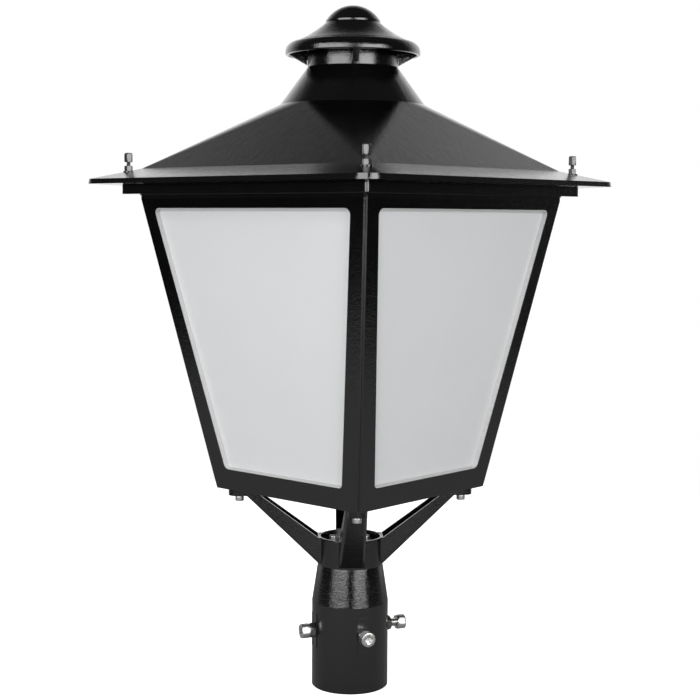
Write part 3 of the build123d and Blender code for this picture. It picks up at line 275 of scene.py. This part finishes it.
def bare_sheet():
    """Rolled aluminium sheet with long marks along the roll."""
    sheet = Finish("bare_sheet", Metallic=1.0)
    stretched = sheet.node("ShaderNodeMapping", {}, {"Vector": sheet.here, "Scale": ALONG_THE_ROLL})
    marks = sheet.noise(scale=3000.0, detail=2.0, roughness=0.5, place=stretched)
    return sheet.set(Base_Color=sheet.blend(marks, grey(0.5), grey(0.68)),
                     Roughness=sheet.ramp(marks, 0.2, 0.8, bottom=0.28, top=0.44),
                     Normal=sheet.relief(marks, depth=0.00002))


def bare_aluminium():
    """Die cast aluminium, grained, with softened edges."""
    metal = Finish("bare_aluminium", Metallic=1.0)
    grain = metal.noise(scale=1500.0, detail=4.0, roughness=0.65)
    return metal.set(Base_Color=metal.blend(grain, grey(0.45), grey(0.62, 0.01)),
                     Roughness=metal.ramp(grain, 0.2, 0.8, bottom=0.38, top=0.56),
                     Normal=metal.relief(grain, depth=0.00006, under=metal.rounded(radius=0.0004)))


finishes.update(stainless=stainless(), bare_sheet=bare_sheet(), bare_aluminium=bare_aluminium())
print(len(finishes), "finishes so far")

# %% [markdown]
# ## Opal panels and the clear cover
# The panels are opal acrylic: milky all through, with a moulded satin skin. Light wanders inside it, so it
# looks even and soft, and a little subsurface scattering gives that. The cover over the light source is
# clear, so most of it lets the view straight through and only its gloss shows. Under it sit the packages
# that give the light: yellow phosphor under a drop of clear resin.

# %% Opal, clear and yellow plastics
def opal_panel():
    """Opal acrylic: milky white, satin, very faintly uneven."""
    panel = Finish("opal_panel", IOR=1.49, Subsurface_Weight=0.25, Subsurface_Radius=(0.006, 0.006, 0.006),
                   Subsurface_Scale=1.0)
    cloud = panel.noise(scale=9.0, detail=2.0, roughness=0.5)
    skin = panel.noise(scale=700.0, detail=2.0, roughness=0.5)
    return panel.set(Base_Color=panel.blend(cloud, (0.66, 0.67, 0.68, 1), (0.7, 0.71, 0.715, 1)),
                     Roughness=panel.ramp(skin, 0.2, 0.8, bottom=0.36, top=0.44),
                     Normal=panel.relief(skin, depth=0.00003))


def clear_cover():
    """Clear moulded cover over the light source."""
    cover = Finish("clear_cover", IOR=1.58, Roughness=0.08)
    skin = cover.noise(scale=250.0, detail=1.0, roughness=0.5)
    return cover.set(Base_Color=(0.9, 0.92, 0.92, 1), Alpha=cover.ramp(skin, 0.2, 0.8, bottom=0.2, top=0.28),
                     Normal=cover.relief(skin, depth=0.00003))


def led_package():
    """Yellow phosphor under a drop of clear resin."""
    chip = Finish("led_package", Coat_Weight=1.0, Coat_Roughness=0.05)
    grain = chip.noise(scale=3000.0, detail=2.0, roughness=0.5)
    return chip.set(Base_Color=chip.blend(grain, (0.75, 0.55, 0.08, 1), (0.9, 0.72, 0.16, 1)),
                    Roughness=chip.ramp(grain, 0.2, 0.8, bottom=0.4, top=0.6))


finishes.update(opal_panel=opal_panel(), clear_cover=clear_cover(), led_package=led_package())
print(len(finishes), "finishes so far")

# %% [markdown]
# ## Rubber and moulded plastics
# What is left is moulded and matt: the seals, the pale lining round the panels, the gland, the board and the
# cases inside. They differ only in colour, in how matt they are and in the grain of their moulds, so one
# function makes them all.

# %% Moulded materials
def moulded(name, dark, light, low=0.5, high=0.65, scale=900.0, depth=0.00005):
    """A matt moulded material between two colours and two roughnesses, with the fine grain of its mould."""
    piece = Finish(name)
    grain = piece.noise(scale, detail=3.0, roughness=0.6)
    return piece.set(Base_Color=piece.blend(grain, dark, light),
                     Roughness=piece.ramp(grain, 0.2, 0.8, bottom=low, top=high),
                     Normal=piece.relief(grain, depth, under=piece.rounded(radius=0.0004)))


MOULDED = {
    "rubber": dict(dark=grey(0.012), light=grey(0.022), low=0.6, high=0.8),
    "pale_silicone": dict(dark=grey(0.5), light=grey(0.62), low=0.45, high=0.6),
    "gland_plastic": dict(dark=grey(0.014), light=grey(0.024), low=0.4, high=0.55),
    "white_board": dict(dark=grey(0.74, 0.01), light=grey(0.82, 0.01), low=0.3, high=0.42, scale=1500.0,
                        depth=0.00002),
    "driver_case": dict(dark=(0.55, 0.57, 0.6, 1), light=(0.63, 0.65, 0.67, 1)),
    "terminal_plastic": dict(dark=(0.6, 0.57, 0.5, 1), light=(0.68, 0.65, 0.58, 1)),
}
finishes.update({name: moulded(name, **look) for name, look in MOULDED.items()})
print(len(finishes), "finishes")

# %% [markdown]
# ## Dress the pieces
# The record says which slot each piece takes its finish from. The new material goes into that slot, and the
# piece's own mesh is left alone.

# %% Put the finishes on
slot_of = {row["node"]: row["material_slot"] for row in frame["record"]["subparts"]}
for name, piece in nodes.items():
    for holder in piece.material_slots:
        holder.material = finishes[slot_of[name]]
print("dressed", len(nodes), "pieces")

# %% [markdown]
# ## Screws with real detail
# A cap screw is a turned piece, so it is a radius along a profile: up the wall of its key socket, out over
# the head's face, down its side and along the shank. Three things aren't round. The key socket is a hexagon,
# the head's side is knurled, and the shank carries a thread, whose crest climbs one pitch for each turn. All
# three are only a radius that also depends on the angle, so one grid of angle and station holds the screw.

# %% Radii that depend on the angle
TURN_STEPS = 192
THREAD_DEPTH = 0.61            # as a share of the pitch
THREAD_STEEPNESS = 1.5         # above 1, the wave is cut off, which leaves flats at crest and root
THREAD_RINGS = 8               # rings of points in one pitch


def turn_angles():
    """The angles of one ring of points, evenly spaced over a turn."""
    return np.arange(TURN_STEPS) * 2 * np.pi / TURN_STEPS


def hexagon_radius(angle, flats):
    """Distance from the centre to a hexagon of this width across flats: half the width over the cosine of
    the angle from the nearest flat's middle."""
    return flats / 2 / np.cos((angle + np.pi / 6) % (np.pi / 3) - np.pi / 6)


def thread_radius(angle, along, crest, pitch):
    """A thread's radius: a triangle wave of place along the axis less the share of the turn, cut off at
    crest and root, under the crest's radius."""
    phase = (along / pitch - angle / (2 * np.pi)) % 1.0
    wave = np.clip(np.abs(2 * phase - 1) * THREAD_STEEPNESS - (THREAD_STEEPNESS - 1) / 2, 0, 1)
    return crest - THREAD_DEPTH * pitch * (1 - wave)


def thread_rings(angle, shank, length, pitch):
    """Rings of the thread, from just under the seat to just above the tip."""
    return [(z, thread_radius(angle, z, shank, pitch))
            for z in np.arange(-pitch * 0.4, -length + pitch * 0.5, -pitch / THREAD_RINGS)]


def turned_grid(angle, rings):
    """Points from rings of a height and a radius for every angle: radius times cosine, radius times sine,
    height."""
    height = np.array([np.broadcast_to(z, angle.shape) for z, _ in rings])
    radius = np.array([r for _, r in rings])
    return np.stack([radius * np.cos(angle), radius * np.sin(angle), height], axis=-1)


print(TURN_STEPS, "steps a turn")

# %% The cap screw's surface
SOCKET_FLOOR = 0.45            # height of the key socket's floor, as a share of the head's height
DRILL_POINT = 0.12             # depth of the drill's cone under that floor, as a share of the key's width
SOCKET_MOUTH = 0.62            # radius of the socket's bevelled mouth, as a share of the key's width
HEAD_EDGE = 0.09               # size of the rounded rim, as a share of the head's radius
KNURL_DEPTH = 0.022            # as a share of the head's radius
SIDE_RINGS = 5                 # rings of points down the knurled side


def cap_screw_grid(shank, head, height, key, length, pitch, knurls):
    """Rings of a socket head cap screw, head seat at 0 and shank towards -z: each ring is a height and a
    radius for every angle, from the key socket's floor over the head and down the thread."""
    angle = turn_angles()
    socket = hexagon_radius(angle, key)
    middle = socket * 0
    knurl = head * (1 - KNURL_DEPTH * (0.5 + 0.5 * np.cos(knurls * angle)))
    floor, edge = height * SOCKET_FLOOR, head * HEAD_EDGE
    up_the_socket = [(floor - key * DRILL_POINT, middle), (floor, socket), (height - edge * 0.5, socket)]
    over_the_face = [(height, middle + key * SOCKET_MOUTH), (height, middle + head - edge * 1.6)]
    round_the_rim = [(height - edge * 0.35, middle + head - edge * 0.6), (height - edge * 1.1, knurl * 0.995)]
    down_the_side = [(z, knurl) for z in np.linspace(height - edge * 1.3, height * 0.16, SIDE_RINGS)]
    to_the_seat = [(height * 0.08, middle + head * 0.97), (0.0, middle + head * 0.93),
                   (0.0, middle + shank * 1.02)]
    off_the_tip = [(-length + pitch * 0.4, middle + shank * 0.82), (-length, middle + shank * 0.7),
                   (-length, middle)]
    return turned_grid(angle, up_the_socket + over_the_face + round_the_rim + down_the_side + to_the_seat
                       + thread_rings(angle, shank, length, pitch) + off_the_tip)


print("cap screws can be turned")

# %% [markdown]
# ## From a grid to a piece
# A grid of rings becomes a mesh by joining each ring to the next with four sided faces, the last one of a
# ring closing it to the first. Where a ring has shrunk to a point its doubles are merged. Four alike bolts
# are one piece, so the same grid is placed by several matrices. The piece's object stays at the origin.

# %% Build and hand in a piece
DOUBLES_WITHIN, THINNEST_FACE = 1e-7, 1e-8     # metres
SHARP_FROM = 32                                # degrees between faces that still shade as one


def ring_faces(rows, turns):
    """Four sided faces between each ring and the next, as numbers of points."""
    row, step = np.meshgrid(np.arange(rows - 1), np.arange(turns), indexing="ij")
    after = (step + 1) % turns
    return np.stack([row * turns + step, (row + 1) * turns + step, (row + 1) * turns + after,
                     row * turns + after], axis=-1).reshape(-1, 4)


def placed_mesh(name, grid, matrices):
    """A mesh that holds the grid once for each matrix."""
    rows, turns = grid.shape[:2]
    count = rows * turns
    flat = np.c_[grid.reshape(-1, 3), np.ones(count)]
    points = np.concatenate([(flat @ np.array(matrix).T)[:, :3] for matrix in matrices])
    faces = ring_faces(rows, turns)
    quads = np.concatenate([faces + copy * count for copy in range(len(matrices))])
    mesh = bpy.data.meshes.new(name)
    mesh.from_pydata(points.tolist(), [], quads.tolist())
    return mesh


def grid_piece(name, grid, matrices, slot_name):
    """A closed piece from a grid, with its poles merged, its faces outward and its edges kept sharp."""
    mesh = placed_mesh(name, grid, matrices)
    work = bmesh.new()
    work.from_mesh(mesh)
    bmesh.ops.remove_doubles(work, verts=work.verts, dist=DOUBLES_WITHIN)
    bmesh.ops.dissolve_degenerate(work, dist=THINNEST_FACE, edges=work.edges)
    bmesh.ops.recalc_face_normals(work, faces=work.faces)
    work.to_mesh(mesh)
    work.free()
    mesh.polygons.foreach_set("use_smooth", np.ones(len(mesh.polygons), bool))
    mesh.set_sharp_from_angle(angle=np.radians(SHARP_FROM))
    mesh.materials.append(finishes[slot_name])
    piece = bpy.data.objects.new(name, mesh)
    bpy.context.scene.collection.objects.link(piece)
    return piece


def swap(piece, node, body):
    """The piece stands for the node and moves with its body."""
    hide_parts(node)
    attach(piece, body)


print("pieces can be built")

# %% [markdown]
# ## Set screws
# Four screws hold the socket to its pole. They stand a quarter of a turn apart and point at the pole's axis,
# and one of them is backed out. How far out each one sits is measured on the plain screw that it replaces, so
# the new one fits wherever the plain one is.

# %% Set screws
# shank and head are radii, key is a width across flats, and all sizes are metres
SET_SCREW = dict(shank=0.0040, head=0.00725, height=0.0092, key=0.0060, length=0.016, pitch=0.00125,
                 knurls=44)
SET_SCREW_AZIMUTH, SET_SCREW_HEIGHT = -27.5, 0.058     # degrees and metres


def node_points(name):
    """A node's vertices, as rows of x, y and z."""
    mesh = nodes[name].data
    points = np.empty(len(mesh.vertices) * 3, np.float32)
    mesh.vertices.foreach_get("co", points)
    return points.reshape(-1, 3)


def radial_place(azimuth, seat):
    """Turns a screw that points down into one that points at the pole's axis, its seat at this radius."""
    return (Matrix.Rotation(azimuth, 4, "Z") @ Matrix.Translation((seat, 0, SET_SCREW_HEIGHT))
            @ Matrix.Rotation(np.pi / 2, 4, "Y"))


for number in range(1, 5):
    azimuth = np.radians(SET_SCREW_AZIMUTH + 90 * (number - 1))
    outward = Vector((np.cos(azimuth), np.sin(azimuth), 0))
    seat = (node_points(f"set_screw_{number}") @ np.array(outward)).max() - SET_SCREW["height"]
    screw = grid_piece(f"threaded_set_screw_{number}", cap_screw_grid(**SET_SCREW),
                       [radial_place(azimuth, seat)], "stainless")
    swap(screw, f"set_screw_{number}", f"set_screw_{number}")
    print(screw.name, "head seat", round(seat * 1000, 2), "mm from the axis")

# %% [markdown]
# ## Foot bolts
# Four smaller cap screws come up through the lugs of the arms, heads down. They sit on the diagonals, and the
# box of the plain ones says how far out and how low.

# %% Foot bolts
FOOT_BOLT = dict(shank=0.0025, head=0.00425, height=0.0050, key=0.0040, length=0.025, pitch=0.0008, knurls=30)
ROOT_BODY = frame["record"]["behaviour"]["joints"][0]["parent"]

low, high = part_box("foot_bolts")
reach = (high.x - low.x) / 2 - FOOT_BOLT["head"]
seat = low.z + FOOT_BOLT["height"]
places = [Matrix.Translation((a * reach, b * reach, seat)) @ Matrix.Rotation(np.pi, 4, "X")
          for a in (-1, 1) for b in (-1, 1)]
bolts = grid_piece("threaded_foot_bolts", cap_screw_grid(**FOOT_BOLT), places, "stainless")
swap(bolts, "foot_bolts", ROOT_BODY)
print("four foot bolts", round(reach * 1000, 2), "mm from the middle planes")

# %% [markdown]
# ## Corner studs
# Each corner of the brim carries a hexagon bar with a turned top, standing on a thread that goes down through
# a nut. The bar is the smaller of a hexagon and a cone at every height, which is how the chamfer is cut on
# the real one.

# %% The studs' surface
# flats is a width across flats, shank a radius and tip a height above the bar's foot
STUD = dict(flats=0.0070, tip=0.0089, shank=0.0020, pitch=0.0007)
CONE_CUT = 0.0006              # how far the top's cone goes on inside the flats
CONE_RINGS = 7
BAR_START = 0.0007             # where the bar's plain length starts above its foot
FOOT_CHAMFER = 0.0003


def stud_grid(flats, tip, shank, length, pitch):
    """Rings of a stud, bar's foot at 0 and thread towards -z: above, the radius is the lesser of the hexagon
    and a cone, and below it is the thread's."""
    angle = turn_angles()
    bar = hexagon_radius(angle, flats)
    corner = flats / 2 / np.cos(np.pi / 6)
    slope = corner - flats / 2 + CONE_CUT
    middle = bar * 0
    over_the_top = [(tip, middle), (tip, np.minimum(bar, corner - slope) * 0.97)]
    down_the_cone = [(tip - slope * share, np.minimum(bar, corner - slope * (1 - share)))
                     for share in np.linspace(0, 1, CONE_RINGS)]
    down_the_bar = [(z, bar) for z in np.linspace(tip - slope * 1.05, BAR_START, 3)]
    round_the_foot = [(FOOT_CHAMFER, np.minimum(bar, corner - FOOT_CHAMFER)),
                      (0.0, np.minimum(bar, flats / 2)), (0.0, middle + shank * 1.02)]
    off_the_tip = [(-length, middle + shank * 0.75), (-length, middle)]
    return turned_grid(angle, over_the_top + down_the_cone + down_the_bar + round_the_foot
                       + thread_rings(angle, shank, length, pitch) + off_the_tip)


print("studs can be turned")


# %% Corner studs
for number in range(1, 5):
    low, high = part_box(f"corner_stud_{number}")
    middle = (low + high) / 2
    foot = high.z - STUD["tip"]
    quarter = Matrix.Rotation(np.pi / 2 * (number % 2), 4, "Z") @ Matrix.Rotation(np.pi / 6, 4, "Z")
    place = Matrix.Translation((middle.x, middle.y, foot)) @ quarter
    stud = grid_piece(f"threaded_corner_stud_{number}", stud_grid(length=foot - low.z, **STUD), [place],
                      "black_steel")
    swap(stud, f"corner_stud_{number}", f"corner_stud_{number}")
print("four studs,", round(STUD["tip"] * 1000, 1), "mm bars")

# %% [markdown]
# ## The table
# The lantern stands on a round white table. The camera sees it pure white, apart from the lantern's own
# shadow, and the black coat mirrors the real, dimmer table, which is why the sloping frames stay dark.

# %% Table
TABLE_RADIUS = 1.15
TABLE_RINGS, TABLE_STEPS = 24, 96
SEEN_WHITE, MIRRORED_WHITE = grey(0.95), grey(0.3)
SEEN_GLOW = 0.86               # what the camera sees added, which leaves room for the shadow


def table_grid():
    """Points of a disc: rings whose radius grows as the square of their number, at the height of the
    lantern's foot."""
    radius = TABLE_RADIUS * (np.arange(TABLE_RINGS) / (TABLE_RINGS - 1)) ** 2
    angle = np.arange(TABLE_STEPS) * 2 * np.pi / TABLE_STEPS
    ring, turn_angle = np.meshgrid(radius, angle, indexing="ij")
    return np.stack([ring * np.cos(turn_angle), ring * np.sin(turn_angle), ring * 0], axis=-1)


def table_finish():
    """White to the camera with the shadow kept, and a pale plain surface to everything else."""
    top = Finish("table", Roughness=0.9, Emission_Strength=1.0)
    camera_ray = top.node("ShaderNodeLightPath", output="Is Camera Ray")
    return top.set(Base_Color=top.blend(camera_ray, MIRRORED_WHITE, SEEN_WHITE),
                   Emission_Color=top.blend(camera_ray, grey(0.0), grey(SEEN_GLOW)))


mesh = placed_mesh("table", table_grid(), [Matrix.Identity(4)])
mesh.materials.append(table_finish())
table = bpy.data.objects.new("table", mesh)
bpy.context.scene.collection.objects.link(table)
print("table", TABLE_RADIUS, "m across half")

# %% [markdown]
# ## Lamps
# Two wide softboxes stand beside the camera and a small one lies low in front. In the black coat each of
# them is a mirror image, so their places are chosen from where the bright bands fall: left and right of the
# middle on every round piece, and down the narrow bevel of the front corner. A softbox is easiest to think
# of by the brightness that it shows, so its power is worked out from that.

# %% Lamps
CAMERA_BEARING = VIEW_TURN - 90
SOFTBOX_DISTANCE = 2.2
LANTERN_MIDDLE = (0, 0, 0.35)
LOW_BEARING, LOW_RADIUS, LOW_HEIGHT = 6, 1.04, 0.02


def softbox(name, place, facing, width, height, radiance):
    """An area lamp with its back turned this way. Its power follows from the brightness that it should show
    in a mirror: radiance times its area times pi."""
    lamp = bpy.data.lights.new(name, "AREA")
    lamp.shape, lamp.size, lamp.size_y = "RECTANGLE", width, height
    lamp.energy = radiance * width * height * np.pi
    thing = bpy.data.objects.new(name, lamp)
    thing.location, thing.rotation_euler = place, facing
    thing.visible_camera = False
    bpy.context.scene.collection.objects.link(thing)
    print(name, round(width, 2), "by", round(height, 2), "m at", [round(v, 2) for v in place])


def standing_softbox(name, bearings, elevations, radiance):
    """A softbox aimed at the lantern that fills these angles, in degrees to the right of the camera and
    above the horizon."""
    width, height = [2 * SOFTBOX_DISTANCE * np.tan(np.radians(high - low) / 2)
                     for low, high in (bearings, elevations)]
    bearing, lift = np.radians(CAMERA_BEARING + sum(bearings) / 2), np.radians(sum(elevations) / 2)
    offset = SOFTBOX_DISTANCE * Vector((np.cos(lift) * np.cos(bearing), np.cos(lift) * np.sin(bearing),
                                        np.sin(lift)))
    facing = offset.to_track_quat("Z", "Y").to_euler()
    softbox(name, Vector(LANTERN_MIDDLE) + offset, facing, width, height, radiance)


standing_softbox("softbox_left", bearings=(-62, -8), elevations=(-3, 38), radiance=3.9)
standing_softbox("softbox_right", bearings=(13, 54), elevations=(-3, 32), radiance=4.8)
bearing = np.radians(CAMERA_BEARING + LOW_BEARING)
softbox("softbox_low", (LOW_RADIUS * np.cos(bearing), LOW_RADIUS * np.sin(bearing), LOW_HEIGHT),
        facing=(np.pi, 0, bearing), width=0.18, height=0.3, radiance=1.5)

# %% [markdown]
# ## The room
# The world does the rest, and Light Path lets it be three things at once. The camera sees plain white. In a
# mirror there is a white wall behind the lantern that fades into a dark ceiling, which makes the brim's top
# pale and the roof's slopes grey, and next to nothing at the sides, which keeps the upright frames black.
# Everything else is lit softly, mostly from that wall, so the panels at the back are lit too.

# %% Room
WALL_IN_MIRROR, CEILING_IN_MIRROR = 1.2, 0.012
SIDES_IN_MIRROR, FLOOR_IN_MIRROR, FRONT_IN_MIRROR = 0.04, 0.01, 0.02
ROOM_FILL, WALL_FILL = 0.1, 1.05
BEHIND, BESIDE = (0.32, 0.72), (-0.5, -0.1)            # cosines of the angle from straight behind
WALL_TO_CEILING, FLOOR_TO_SIDES = (0.37, 0.77), (-0.1, 0.02)     # sines of the angle above the horizon


def along(network, direction, axis):
    """How far a direction goes along an axis: their dot product."""
    return network.node("ShaderNodeVectorMath", {"operation": "DOT_PRODUCT"}, {0: direction, 1: axis},
                        output="Value")


def room():
    """The world's strength: 1 to the camera, the mirrored room to glossy rays and the fill to all others."""
    world = bpy.data.worlds.new("room")
    world.use_nodes = True
    bpy.context.scene.world = world
    made = Network(world.node_tree)
    direction = made.node("ShaderNodeTexCoord", output="Generated")
    back = (-np.cos(np.radians(CAMERA_BEARING)), -np.sin(np.radians(CAMERA_BEARING)), 0.0)
    facing, rise = along(made, direction, back), along(made, direction, (0, 0, 1))
    behind, beside = made.ramp(facing, *BEHIND), made.ramp(facing, *BESIDE)
    white_wall = made.ramp(rise, *WALL_TO_CEILING, bottom=WALL_IN_MIRROR, top=CEILING_IN_MIRROR)
    side_wall = made.ramp(rise, *FLOOR_TO_SIDES, bottom=FLOOR_IN_MIRROR, top=SIDES_IN_MIRROR)
    in_front = side_wall * beside + (1 - beside) * FRONT_IN_MIRROR
    mirror_level = white_wall * behind + in_front * (1 - behind)
    seen = made.node("ShaderNodeLightPath", output="Is Camera Ray")
    mirrored = made.node("ShaderNodeLightPath", output="Is Glossy Ray")
    fill = mirrored * mirror_level + (1 - mirrored) * (ROOM_FILL + behind * WALL_FILL)
    background = made.tree.nodes["Background"]
    background.inputs["Color"].default_value = (1, 1, 1, 1)
    made.fill(background.inputs["Strength"], seen + (1 - seen) * fill)


room()
bpy.context.scene.view_settings.view_transform = "Standard"
print("room ready")
